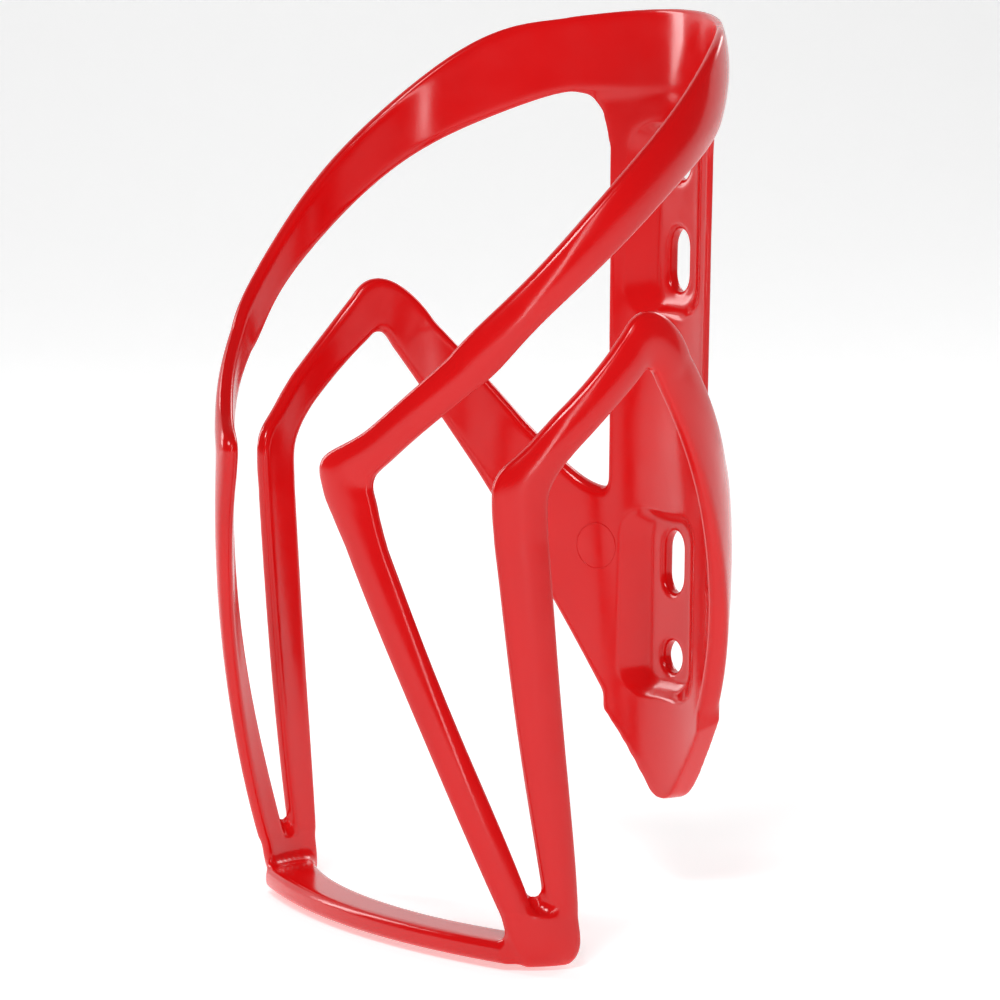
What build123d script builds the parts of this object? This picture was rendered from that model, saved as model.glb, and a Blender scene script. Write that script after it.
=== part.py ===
"""Bicycle water bottle cage: one nylon moulding, written member by member, in millimetres.

The rear mounting face lies in the XZ plane and the bottle stands along Z in front of it, at negative Y.
Every member hugs the bottle, so most shapes are given as an angle round the bottle and a height.
Angles count from the open front of the cage, so 180 is the middle of the spine.
"""

import os
from math import cos, radians, sin

from build123d import *

os.makedirs("parts", exist_ok=True)

# Bottle the cage holds, and where its axis stands in front of the mounting face
bottle_radius = 37.2
axis_y = -41.2

# Bolt holes: two standard pairs 64 apart, each pair a round hole and a slot
pair_spacing = 64.0
slot_height = 24.3
round_height = pair_spacing - slot_height
hole_radius = 2.65
slot_length = 10.2
hole_bevel = 0.5
past_rear_face = 1.0

# Spine outline from the front: straight sides that flare out under the crown
spine_low_half_width = 12.7
spine_top_half_width = 13.5
flare_half_width = 19.4
flare_z = 42.0

# Lower plate outline from the front: straight sides down to the shoulders, then a pointed end
leaf_half_width = 16.0
leaf_shoulder_z = -46.2
leaf_point_z = -65.3

# Spine channel: floor wall behind each recess, raised rail on the rear, thin side flanges
floor_wall = 2.2
rail_half_width = 5.2
rail_foot_half_width = 8.5
rail_foot_y = -3.2
plate_foot_half_width = 9.8
plate_foot_y = -1.3
recess_floor_half_width = 5.4
recess_rim_half_width = 11.6
recess_rim_rise = 4.2
recess_floor_inset = 6.0
recess_rim_overrun = 2.4
recess_floor_round = 3.0
recess_rim_round = 6.5
upper_recess = (14.5, 47.0)
lower_recess = (-47.5, -14.8)

# Heights where the members meet
crotch_z = -13.2
crown_low_z = 50.5
crown_top_z = 64.3
leaf_tip_z = -62.8
leaf_tip_round = 4.5
leg_end_z = -70.0
bottom_z = -78.4

# Foot lip, a flat shelf joining both feet across the front
lip_top_z = -74.4
lip_bottom_z = -77.9
lip_edge_round = 1.1

# Rounding of strap edges as a share of the depth at the edge, and the least hollow on the bottle side
edge_round_share = 0.45
least_hug = 0.02


def around(angle, height, radius):
    """Point at an angle round the bottle and a height."""
    a = radians(angle)
    return Vector(radius * sin(a), axis_y - radius * cos(a), height)


def strap_section(first_edge, second_edge, radius, edge_depth, middle_depth):
    """Strap cross-section: it hugs the bottle, is crowned outside and has rounded corners."""
    start = around(*first_edge, radius)
    finish = around(*second_edge, radius)
    across = (finish - start).normalized()
    out = around((first_edge[0] + second_edge[0]) / 2, 0, 1) - Vector(0, axis_y, 0)
    out = (out - across * out.dot(across)).normalized()
    width = (finish - start).length
    hug = radius * (1 - cos(radians(first_edge[0] - second_edge[0]) / 2)) + least_hug
    with BuildSketch(Plane(origin=start, x_dir=out, z_dir=out.cross(across))) as section:
        with BuildLine():
            Line((edge_depth, 0), (0, 0))
            ThreePointArc((0, 0), (hug, width / 2), (0, width))
            Line((0, width), (edge_depth, width))
            ThreePointArc((edge_depth, width), (middle_depth + hug, width / 2), (edge_depth, 0))
        make_face()
        fillet(section.vertices(), edge_round_share * edge_depth)
    return section.sketch.face()


def eased(stations, steps):
    """Stations with extra ones eased in between, so a strap turns a corner without bulging."""
    flat = [[*first, *second, *rest] for first, second, *rest in stations]
    ends = [flat[0], *flat, flat[-1]]
    result = []
    for i in range(len(flat) - 1):
        before, start, finish, after = ends[i:i + 4]
        for step in range(steps):
            t = step / steps
            row = [
                b + 0.5 * t * (c - a + t * (2 * a - 5 * b + 4 * c - d + t * (3 * (b - c) + d - a)))
                for a, b, c, d in zip(before, start, finish, after)
            ]
            result.append(((row[0], row[1]), (row[2], row[3]), *row[4:]))
    return result + [stations[-1]]


def strap(name, stations):
    """Right-hand strap lofted through its stations, written out with its left-hand twin and given back."""
    with BuildPart() as member:
        loft([strap_section(*station) for station in stations])
    save_pair(name, member.part)
    return member.part


def save_pair(name, shape):
    """Write a right-hand member and its mirror image."""
    save(name + "_right", shape)
    with BuildPart() as twin:
        mirror(shape, about=Plane.YZ)
    save(name + "_left", twin.part)


def save(name, shape):
    """Name a member and write it out."""
    shape.label = name
    export_step(shape, "parts/" + name + ".step")


# Stations along each strap: one edge, the other edge, bottle-side radius, depth at the edges, depth mid-strap.
# Neighbouring members share the station where they meet.
crown_seam = ((148, 50.5), (148, 62.7), 36.6, 1.2, 2.1)
hoop_corner_seam = ((57.6, 9.2), (50.8, 13.5), 38.1, 1.9, 2.8)
hoop_leg_seam = ((37.6, -15.6), (27.0, -15.2), 37.1, 2.0, 2.9)
hoop_foot_seam = ((71.7, leg_end_z), (63.7, leg_end_z), 37.1, 1.9, 2.8)
leaf_seam = ((159.4, -47.6), (159.4, crotch_z), 37.2, 3.4, 3.8)
root_seam = ((124.5, -11.5), (137.0, -3.4), 37.2, 2.4, 3.0)
apex_rear_seam = ((104.2, 7.9), (114.0, 13.0), 37.1, 1.9, 2.5)
apex_front_seam = ((97.4, 10.4), (92.6, 17.2), 37.0, 1.9, 2.7)
wing_corner_seam = ((80.6, -0.1), (75.0, 5.1), 37.1, 1.9, 2.8)
wing_leg_seam = ((74.2, -14.0), (61.2, -14.0), 36.7, 1.9, 2.8)
wing_foot_seam = ((82.5, leg_end_z), (74.4, leg_end_z), 36.8, 1.9, 2.8)

strap("hoop_arm", [
    crown_seam,
    ((134, 47.9), (134, 61.2), 37.0, 1.4, 2.4),
    ((120, 44.0), (120, 57.2), 37.7, 1.8, 2.7),
    ((105, 38.2), (105, 49.6), 38.1, 1.9, 2.8),
    ((90, 30.1), (90, 40.7), 38.2, 1.9, 2.8),
    ((76, 21.8), (76, 31.1), 38.2, 1.9, 2.8),
    ((67, 15.7), (64, 22.8), 38.2, 1.9, 2.8),
    hoop_corner_seam,
])
strap("hoop_corner", eased([
    hoop_corner_seam,
    ((47.2, 3.2), (40.8, 7.3), 37.7, 2.0, 2.9),
    ((38.8, -1.9), (31.2, 1.8), 37.2, 2.1, 3.0),
    ((33.8, -5.3), (20.6, -2.4), 36.9, 2.2, 3.1),
    ((34.7, -8.8), (20.8, -7.0), 36.9, 2.2, 3.1),
    ((36.0, -12.2), (23.8, -11.2), 37.0, 2.1, 3.0),
    hoop_leg_seam,
], 3))
strap("hoop_leg", [
    hoop_leg_seam,
    ((45.2, -28.0), (35.6, -28.0), 37.2, 1.9, 2.8),
    ((54.0, -42.0), (45.0, -42.0), 37.2, 1.9, 2.8),
    ((63.2, -56.0), (54.2, -56.0), 37.2, 1.9, 2.8),
    hoop_foot_seam,
])
strap("wing_root", [
    leaf_seam,
    ((147.0, -35.2), (152.0, -12.1), 37.2, 3.2, 3.7),
    ((135.6, -23.2), (144.6, -8.3), 37.2, 2.8, 3.4),
    root_seam,
])
strap("wing_riser", [
    root_seam,
    ((114.2, -1.4), (125.2, 5.2), 37.2, 2.1, 2.7),
    apex_rear_seam,
])
strap("wing_apex", [
    apex_rear_seam,
    ((101.9, 10.2), (107.0, 18.0), 37.1, 1.9, 2.6),
    ((99.8, 11.5), (99.6, 20.0), 37.0, 1.9, 2.7),
    apex_front_seam,
])
strap("wing_arm", [
    apex_front_seam,
    ((89.0, 5.3), (84.0, 10.9), 37.1, 1.9, 2.8),
    wing_corner_seam,
])
strap("wing_corner", eased([
    wing_corner_seam,
    ((76.2, -3.6), (67.8, 0.0), 36.9, 2.0, 2.9),
    ((73.9, -7.4), (61.0, -5.0), 36.8, 2.0, 2.9),
    wing_leg_seam,
], 3))
strap("wing_leg", [
    wing_leg_seam,
    ((76.2, -28.0), (64.0, -28.0), 36.7, 1.9, 2.8),
    ((78.3, -42.0), (67.0, -42.0), 36.7, 1.9, 2.8),
    ((80.6, -56.0), (70.6, -56.0), 36.8, 1.9, 2.8),
    wing_foot_seam,
])
foot_corner = strap("foot_corner", [
    ((82.5, leg_end_z), (63.7, leg_end_z), 37.0, 1.9, 2.8),
    ((83.3, -74.0), (65.5, -74.0), 37.0, 1.9, 2.8),
    ((82.8, -76.8), (67.6, -76.8), 36.8, 1.8, 2.4),
    ((80.8, bottom_z), (69.8, bottom_z), 36.5, 1.3, 1.6),
])

# Foot lip: shelf between two shallow arcs, closed against the inside of both feet
with BuildPart() as foot_lip:
    with BuildSketch(Plane.XY.offset(lip_bottom_z)):
        with BuildLine():
            outer_arc = ThreePointArc((-37, axis_y - 15.4), (0, axis_y - 22.0), (37, axis_y - 15.4))
            inner_arc = ThreePointArc((-37, axis_y - 5.4), (0, axis_y - 14.4), (37, axis_y - 5.4))
            Line(outer_arc @ 0, inner_arc @ 0)
            Line(outer_arc @ 1, inner_arc @ 1)
        make_face()
        with Locations((0, axis_y)):
            Circle(bottle_radius + 0.6, mode=Mode.INTERSECT)
    extrude(amount=lip_top_z - lip_bottom_z)
    long_edges = [edge for edge in foot_lip.edges() if edge.length > bottle_radius]
    fillet(long_edges, lip_edge_round)
    add(foot_corner, mode=Mode.SUBTRACT)
    add(mirror(foot_corner, about=Plane.YZ), mode=Mode.SUBTRACT)
save("foot_lip", foot_lip.part)


def spine_bar(side_angle, side_radius, foot_half_width, foot_y, low, high):
    """Length of the spine: bottle side hollow, a flange each side, flat rail at the rear."""
    side_in = around(side_angle, 0, bottle_radius)
    side_out = around(side_angle, 0, side_radius)
    with BuildPart() as bar:
        with BuildSketch(Plane.XY.offset(low)) as profile:
            with BuildLine():
                Polyline(
                    (side_in.X, side_in.Y),
                    (side_out.X, side_out.Y),
                    (foot_half_width, foot_y),
                    (rail_half_width, 0),
                    (-rail_half_width, 0),
                    (-foot_half_width, foot_y),
                    (-side_out.X, side_out.Y),
                    (-side_in.X, side_in.Y),
                )
                ThreePointArc((-side_in.X, side_in.Y), (0, axis_y + bottle_radius), (side_in.X, side_in.Y))
            make_face()
            fillet(profile.vertices().filter_by_position(Axis.Y, foot_y - 0.01, 0.01), 1.0)
        extrude(amount=high - low)
    return bar.part


def recess(low, high):
    """Sunk panel on the bottle side, narrowing to a flat floor."""
    middle = (low + high) / 2
    with BuildPart() as panel:
        with BuildSketch(Plane.XZ.offset(floor_wall)):
            with Locations((0, middle)):
                RectangleRounded(2 * recess_floor_half_width, high - low - recess_floor_inset, recess_floor_round)
        with BuildSketch(Plane.XZ.offset(floor_wall + recess_rim_rise)):
            with Locations((0, middle)):
                RectangleRounded(2 * recess_rim_half_width, high - low + recess_rim_overrun, recess_rim_round)
        loft()
    return panel.part


def bolt_opening(height, length):
    """Bolt hole through the recess floor, bevelled on the bottle side; a length makes it a slot."""
    with BuildSketch(Plane.XZ) as outline:
        with Locations((0, height)):
            if length:
                SlotOverall(length, 2 * hole_radius, rotation=90)
            else:
                Circle(hole_radius)
    through = floor_wall + recess_rim_rise
    with BuildPart() as opening:
        extrude(outline.sketch.moved(Location((0, -through, 0))), amount=-through - past_rear_face)
        extrude(outline.sketch.moved(Location((0, hole_bevel - floor_wall, 0))), amount=2 * hole_bevel, taper=-45)
    return opening.part


# Spine: upright channel from the crotch to the crown, flaring into the crown at its top corners
with BuildPart() as spine:
    with BuildSketch(Plane.XZ):
        with BuildLine():
            Polyline(
                (-flare_half_width, crown_low_z), (flare_half_width, crown_low_z),
                (flare_half_width - 2.6, crown_low_z - 0.5), (flare_half_width - 4.6, crown_low_z - 2.9),
                (spine_top_half_width, flare_z), (spine_low_half_width, crotch_z),
                (-spine_low_half_width, crotch_z), (-spine_top_half_width, flare_z),
                (4.6 - flare_half_width, crown_low_z - 2.9), (2.6 - flare_half_width, crown_low_z - 0.5),
                close=True,
            )
        make_face()
    extrude(amount=bottle_radius)
    add(spine_bar(148.0, 38.7, rail_foot_half_width, rail_foot_y, crotch_z, crown_low_z), mode=Mode.INTERSECT)
    add(recess(*upper_recess), mode=Mode.SUBTRACT)
    add(bolt_opening(slot_height, slot_length), mode=Mode.SUBTRACT)
    add(bolt_opening(round_height, 0), mode=Mode.SUBTRACT)
save("spine", spine.part)

# Lower back plate: leaf-shaped end of the spine, narrowing to a rounded tip
with BuildPart() as back_plate:
    with BuildSketch(Plane.XZ) as leaf_outline:
        with BuildLine():
            Polyline(
                (-leaf_half_width, crotch_z), (leaf_half_width, crotch_z), (leaf_half_width, leaf_shoulder_z),
                (0, leaf_point_z), (-leaf_half_width, leaf_shoulder_z), close=True,
            )
        make_face()
        fillet(leaf_outline.vertices().sort_by(Axis.Y)[0], leaf_tip_round)
    extrude(amount=bottle_radius)
    add(spine_bar(159.4, 41.0, plate_foot_half_width, plate_foot_y, leaf_tip_z - 1, crotch_z), mode=Mode.INTERSECT)
    add(recess(*lower_recess), mode=Mode.SUBTRACT)
    add(bolt_opening(-slot_height, slot_length), mode=Mode.SUBTRACT)
    add(bolt_opening(-round_height, 0), mode=Mode.SUBTRACT)
save("back_plate", back_plate.part)

# Crown: rear of the hoop, with the rail of the spine fading out behind it
with BuildPart() as crown:
    left_seam = ((212, 50.5), (212, 62.7), 36.6, 1.2, 2.1)
    middle = ((180, 50.5), (180, crown_top_z), 37.2, 1.8, 2.6)
    loft([strap_section(*station) for station in (crown_seam, middle, left_seam)])
save("hoop_crown", crown.part)
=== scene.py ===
"""Bicycle bottle cage in glossy red nylon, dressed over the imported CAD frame.

The CAD members are fused into one smooth moulding, with soft edges and filled corners as a mould
leaves them, and the moulding is then divided again into one piece for each CAD member.
"""

from math import cos, pi, radians, sin

import bmesh
import bpy
from mathutils import Matrix, Vector
from mathutils.bvhtree import BVHTree


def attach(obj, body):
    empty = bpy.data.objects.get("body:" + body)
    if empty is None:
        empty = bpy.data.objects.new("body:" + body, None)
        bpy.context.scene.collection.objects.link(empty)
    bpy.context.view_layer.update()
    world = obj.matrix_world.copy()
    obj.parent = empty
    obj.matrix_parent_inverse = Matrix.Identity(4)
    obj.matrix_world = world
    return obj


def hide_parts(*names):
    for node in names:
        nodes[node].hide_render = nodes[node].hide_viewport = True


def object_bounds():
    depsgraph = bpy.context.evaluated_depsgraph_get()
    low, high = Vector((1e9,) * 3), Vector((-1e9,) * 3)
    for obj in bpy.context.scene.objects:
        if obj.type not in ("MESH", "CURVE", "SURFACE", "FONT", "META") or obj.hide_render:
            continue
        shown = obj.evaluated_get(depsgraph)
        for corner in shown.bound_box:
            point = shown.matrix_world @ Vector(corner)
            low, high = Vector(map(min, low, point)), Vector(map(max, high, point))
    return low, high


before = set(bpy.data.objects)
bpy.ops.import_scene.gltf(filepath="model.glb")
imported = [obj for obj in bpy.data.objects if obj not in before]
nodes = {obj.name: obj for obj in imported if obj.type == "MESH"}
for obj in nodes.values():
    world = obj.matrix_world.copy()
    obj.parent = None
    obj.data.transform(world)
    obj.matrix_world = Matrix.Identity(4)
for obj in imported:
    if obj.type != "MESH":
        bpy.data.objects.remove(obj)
cad_low, cad_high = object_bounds()
MM = 0.001

# Moulding: grid step, and how far creases between members are filled before smoothing
STEP = 0.36 * MM
CREASE_FILL = 0.9 * MM
FILL_SMOOTH_PASSES = 2
SMOOTH_PASSES = 12

# Bottle axis and the witness ring left by the mould on the left of the lower plate
BOTTLE_Y = -41.2 * MM
RING_ANGLE = radians(-157.0)
RING_HEIGHT = -23.0 * MM
RING_RADIUS = 3.7 * MM
RING_WIRE = 0.10 * MM
RING_STEPS = 96
WIRE_STEPS = 8

# Middle range of a noise texture, which is spread over the range a material asks for
NOISE_LOW = 0.35
NOISE_HIGH = 0.65

# Red nylon: colour drift, roughness range, then the noise scale, strength and depth of ripple and grain
RED_DARK = (0.66, 0.0030, 0.0040, 1)
RED_BRIGHT = (0.76, 0.0045, 0.0055, 1)
DRIFT_SCALE = 28.0
GLOSS_SCALE = 180.0
ROUGHNESS_LOW = 0.13
ROUGHNESS_HIGH = 0.19
RIPPLE_SCALE = 110.0
RIPPLE_STRENGTH = 0.04
RIPPLE_DEPTH = 0.35 * MM
GRAIN_SCALE = 2600.0
GRAIN_STRENGTH = 0.12
GRAIN_DEPTH = 0.02 * MM

# Camera, looking at the cage from its open front and to the right, slightly from above
CAMERA_AZIMUTH = radians(55.94)
CAMERA_ELEVATION = radians(6.68)
CAMERA_ROLL = radians(0.76)
CAMERA_DISTANCE = 744.3 * MM
CAMERA_TARGET = Vector((0, -35.84, -12.41)) * MM
CAMERA_LENS = 171.0

# Pale sheet under and behind the cage, in metres
SHEET_FRONT = 2.0
SHEET_BACK = 0.9
SHEET_BEND = 0.5
SHEET_BEND_STEPS = 12
SHEET_HEIGHT = 1.5
SHEET_HALF = 2.5
SHEET_GLOW = 0.46


def evaluated_copy(source, name):
    """A new mesh with the modifiers of an object applied."""
    depsgraph = bpy.context.evaluated_depsgraph_get()
    mesh = bpy.data.meshes.new_from_object(source.evaluated_get(depsgraph))
    mesh.name = name
    return mesh


def joined_members():
    """All CAD members in one object."""
    bm = bmesh.new()
    for name in sorted(nodes):
        bm.from_mesh(nodes[name].data)
    mesh = bpy.data.meshes.new("members")
    bm.to_mesh(mesh)
    bm.free()
    members = bpy.data.objects.new("members", mesh)
    bpy.context.collection.objects.link(members)
    return members


def remeshed(source):
    """Voxel remesh modifier at the moulding's grid step."""
    remesh = source.modifiers.new("remesh", "REMESH")
    remesh.mode = "VOXEL"
    remesh.voxel_size = STEP
    remesh.adaptivity = 0.0
    remesh.use_smooth_shade = True


def displaced(source, distance):
    """Move the surface out along its normals by a distance."""
    displace = source.modifiers.new("displace", "DISPLACE")
    displace.strength = distance
    displace.mid_level = 0.0


def smoothed(source, passes):
    """Relax the surface."""
    smooth = source.modifiers.new("smooth", "SMOOTH")
    smooth.factor = 0.5
    smooth.iterations = passes


def moulded_surface():
    """One smooth skin over all members, with the creases between them filled."""
    members = joined_members()
    remeshed(members)
    displaced(members, CREASE_FILL)
    remeshed(members)
    smoothed(members, FILL_SMOOTH_PASSES)
    displaced(members, -CREASE_FILL)
    smoothed(members, SMOOTH_PASSES)
    mesh = evaluated_copy(members, "moulding")
    bpy.data.objects.remove(members)
    return mesh


def member_finder():
    """Function giving the CAD member nearest to a point."""
    points = []
    polygons = []
    owners = []
    for name in sorted(nodes):
        mesh = nodes[name].data
        first = len(points)
        points.extend(vertex.co.copy() for vertex in mesh.vertices)
        for polygon in mesh.polygons:
            polygons.append([first + index for index in polygon.vertices])
            owners.append(name)
    tree = BVHTree.FromPolygons(points, polygons)
    return lambda point: owners[tree.find_nearest(point)[2]]


def pieces_of(skin, material):
    """Divide the skin into one piece for each member, keeping the shading of the whole skin."""
    nearest = member_finder()
    faces_of = {name: [] for name in nodes}
    for polygon in skin.polygons:
        faces_of[nearest(polygon.center)].append(polygon)
    normals = [vertex.normal.copy() for vertex in skin.vertices]
    for name, faces in faces_of.items():
        used = sorted({index for face in faces for index in face.vertices})
        place = {index: i for i, index in enumerate(used)}
        mesh = bpy.data.meshes.new(name + "_skin")
        mesh.from_pydata(
            [skin.vertices[index].co for index in used],
            [],
            [[place[index] for index in face.vertices] for face in faces],
        )
        mesh.polygons.foreach_set("use_smooth", [True] * len(faces))
        mesh.normals_split_custom_set_from_vertices([normals[index] for index in used])
        mesh.materials.append(material)
        piece = bpy.data.objects.new(name + "_skin", mesh)
        bpy.context.collection.objects.link(piece)
        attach(piece, "root")
        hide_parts(name)


def witness_ring(skin, material):
    """Thin raised ring that a mould pin leaves on the bottle side of the lower plate."""
    tree = BVHTree.FromPolygons([v.co.copy() for v in skin.vertices], [p.vertices[:] for p in skin.polygons])
    spoke = Vector((sin(RING_ANGLE), -cos(RING_ANGLE), 0))
    side = Vector((cos(RING_ANGLE), sin(RING_ANGLE), 0))
    up = Vector((0, 0, 1))
    start = Vector((0, BOTTLE_Y, RING_HEIGHT))
    bm = bmesh.new()
    rings = []
    for i in range(RING_STEPS):
        turn = 2 * pi * i / RING_STEPS
        out = side * cos(turn) + up * sin(turn)
        origin = start + out * RING_RADIUS
        middle = tree.ray_cast(origin, spoke)[0]
        loop = []
        for j in range(WIRE_STEPS):
            roll = 2 * pi * j / WIRE_STEPS
            loop.append(bm.verts.new(middle + RING_WIRE * (out * cos(roll) + spoke * sin(roll))))
        rings.append(loop)
    for i in range(RING_STEPS):
        for j in range(WIRE_STEPS):
            here, there = rings[i], rings[(i + 1) % RING_STEPS]
            k = (j + 1) % WIRE_STEPS
            bm.faces.new((here[j], there[j], there[k], here[k]))
    bmesh.ops.recalc_face_normals(bm, faces=bm.faces)
    mesh = bpy.data.meshes.new("mould_witness_ring")
    bm.to_mesh(mesh)
    bm.free()
    mesh.polygons.foreach_set("use_smooth", [True] * len(mesh.polygons))
    mesh.materials.append(material)
    ring = bpy.data.objects.new("mould_witness_ring", mesh)
    bpy.context.collection.objects.link(ring)
    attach(ring, "root")


def noise(tree, coordinates, scale, detail):
    """Noise texture node over the object's own coordinates."""
    texture = tree.nodes.new("ShaderNodeTexNoise")
    texture.inputs["Scale"].default_value = scale
    texture.inputs["Detail"].default_value = detail
    tree.links.new(coordinates.outputs["Object"], texture.inputs["Vector"])
    return texture


def ranged(tree, source, low, high):
    """Map a texture's middle range to another range."""
    limits = tree.nodes.new("ShaderNodeMapRange")
    limits.inputs["From Min"].default_value = NOISE_LOW
    limits.inputs["From Max"].default_value = NOISE_HIGH
    limits.inputs["To Min"].default_value = low
    limits.inputs["To Max"].default_value = high
    tree.links.new(source.outputs["Fac"], limits.inputs["Value"])
    return limits


def bump(tree, coordinates, scale, strength, depth):
    """Bump node driven by noise."""
    relief = tree.nodes.new("ShaderNodeBump")
    relief.inputs["Strength"].default_value = strength
    relief.inputs["Distance"].default_value = depth
    tree.links.new(noise(tree, coordinates, scale, 2.0).outputs["Fac"], relief.inputs["Height"])
    return relief


def red_nylon():
    """Glossy moulded nylon: slight colour drift, uneven gloss, faint flow ripple and fine grain."""
    material = bpy.data.materials.new("red_nylon")
    material.use_nodes = True
    tree = material.node_tree
    shader = tree.nodes["Principled BSDF"]
    coordinates = tree.nodes.new("ShaderNodeTexCoord")
    drift = noise(tree, coordinates, DRIFT_SCALE, 3.0)
    tint = tree.nodes.new("ShaderNodeValToRGB")
    tint.color_ramp.elements[0].position = 0.3
    tint.color_ramp.elements[0].color = RED_DARK
    tint.color_ramp.elements[1].position = 0.7
    tint.color_ramp.elements[1].color = RED_BRIGHT
    tree.links.new(drift.outputs["Fac"], tint.inputs["Fac"])
    tree.links.new(tint.outputs["Color"], shader.inputs["Base Color"])
    gloss = ranged(tree, noise(tree, coordinates, GLOSS_SCALE, 4.0), ROUGHNESS_LOW, ROUGHNESS_HIGH)
    tree.links.new(gloss.outputs["Result"], shader.inputs["Roughness"])
    shader.inputs["IOR"].default_value = 1.52
    shader.inputs["Specular IOR Level"].default_value = 0.42
    ripple = bump(tree, coordinates, RIPPLE_SCALE, RIPPLE_STRENGTH, RIPPLE_DEPTH)
    grain = bump(tree, coordinates, GRAIN_SCALE, GRAIN_STRENGTH, GRAIN_DEPTH)
    tree.links.new(ripple.outputs["Normal"], grain.inputs["Normal"])
    tree.links.new(grain.outputs["Normal"], shader.inputs["Normal"])
    return material


def pale_floor():
    """Pale sheet: floor just under the cage, curving up into a backdrop behind it."""
    material = bpy.data.materials.new("pale_sheet")
    material.use_nodes = True
    tree = material.node_tree
    shader = tree.nodes["Principled BSDF"]
    coordinates = tree.nodes.new("ShaderNodeTexCoord")
    tint = tree.nodes.new("ShaderNodeValToRGB")
    tint.color_ramp.elements[0].color = (0.88, 0.88, 0.88, 1)
    tint.color_ramp.elements[1].color = (0.92, 0.92, 0.92, 1)
    tree.links.new(noise(tree, coordinates, 4.0, 2.0).outputs["Fac"], tint.inputs["Fac"])
    tree.links.new(tint.outputs["Color"], shader.inputs["Base Color"])
    shader.inputs["Roughness"].default_value = 0.9
    shader.inputs["Emission Color"].default_value = (1, 1, 1, 1)
    shader.inputs["Emission Strength"].default_value = SHEET_GLOW
    away = Vector((-sin(CAMERA_AZIMUTH), cos(CAMERA_AZIMUTH), 0))
    side = Vector((cos(CAMERA_AZIMUTH), sin(CAMERA_AZIMUTH), 0))
    up = Vector((0, 0, 1))
    start = up * (cad_low[2] - 0.5 * MM)
    profile = [start - away * SHEET_FRONT]
    for i in range(SHEET_BEND_STEPS + 1):
        turn = pi / 2 * i / SHEET_BEND_STEPS
        reach = SHEET_BACK + SHEET_BEND * sin(turn)
        profile.append(start + away * reach + up * SHEET_BEND * (1 - cos(turn)))
    profile.append(profile[-1] + up * SHEET_HEIGHT)
    bm = bmesh.new()
    rows = [[bm.verts.new(point + side * half) for half in (-SHEET_HALF, SHEET_HALF)] for point in profile]
    for (a, b), (c, d) in zip(rows, rows[1:]):
        bm.faces.new((a, b, d, c))
    mesh = bpy.data.meshes.new("sheet")
    bm.to_mesh(mesh)
    bm.free()
    mesh.polygons.foreach_set("use_smooth", [True] * len(mesh.polygons))
    mesh.materials.append(material)
    sheet = bpy.data.objects.new("sheet", mesh)
    bpy.context.collection.objects.link(sheet)


def softbox(name, place, size, power):
    """Rectangular area light aimed at the middle of the cage."""
    light = bpy.data.lights.new(name, "AREA")
    light.shape = "RECTANGLE"
    light.size, light.size_y = size
    light.energy = power
    lamp = bpy.data.objects.new(name, light)
    lamp.location = place
    lamp.rotation_euler = (CAMERA_TARGET - lamp.location).to_track_quat("-Z", "Y").to_euler()
    bpy.context.collection.objects.link(lamp)


def studio():
    """White surroundings and soft lights above, left and right of the camera."""
    world = bpy.data.worlds.new("studio")
    world.use_nodes = True
    bpy.context.scene.world = world
    background = world.node_tree.nodes["Background"]
    background.inputs["Color"].default_value = (1, 1, 1, 1)
    background.inputs["Strength"].default_value = 0.10
    softbox("key", Vector((0.50, -0.60, 0.80)), (0.30, 0.30), 5.5)
    softbox("strip", Vector((0.95, -0.25, 0.25)), (0.10, 0.8), 1.6)
    softbox("fill", Vector((-0.75, -0.45, 0.30)), (0.20, 0.6), 2.6)
    softbox("rear", Vector((-0.25, 0.80, 0.45)), (0.4, 0.3), 2.0)


def camera():
    """Camera at the viewing angle, with its slight roll."""
    back = Vector((
        sin(CAMERA_AZIMUTH) * cos(CAMERA_ELEVATION),
        -cos(CAMERA_AZIMUTH) * cos(CAMERA_ELEVATION),
        sin(CAMERA_ELEVATION),
    ))
    right = Vector((cos(CAMERA_AZIMUTH), sin(CAMERA_AZIMUTH), 0))
    up = back.cross(right)
    tilted_right = right * cos(CAMERA_ROLL) + up * sin(CAMERA_ROLL)
    tilted_up = up * cos(CAMERA_ROLL) - right * sin(CAMERA_ROLL)
    data = bpy.data.cameras.new("camera")
    data.lens = CAMERA_LENS
    data.sensor_width = 36.0
    data.clip_start = 0.01
    data.clip_end = 20.0
    view = bpy.data.objects.new("camera", data)
    turn = Matrix((tilted_right, tilted_up, back)).transposed()
    view.matrix_world = Matrix.Translation(CAMERA_TARGET + back * CAMERA_DISTANCE) @ turn.to_4x4()
    bpy.context.collection.objects.link(view)
    bpy.context.scene.camera = view


bpy.context.scene.view_settings.view_transform = "Standard"
camera()
studio()
pale_floor()
nylon = red_nylon()
skin = moulded_surface()
pieces_of(skin, nylon)
witness_ring(skin, nylon)
bpy.data.meshes.remove(skin)
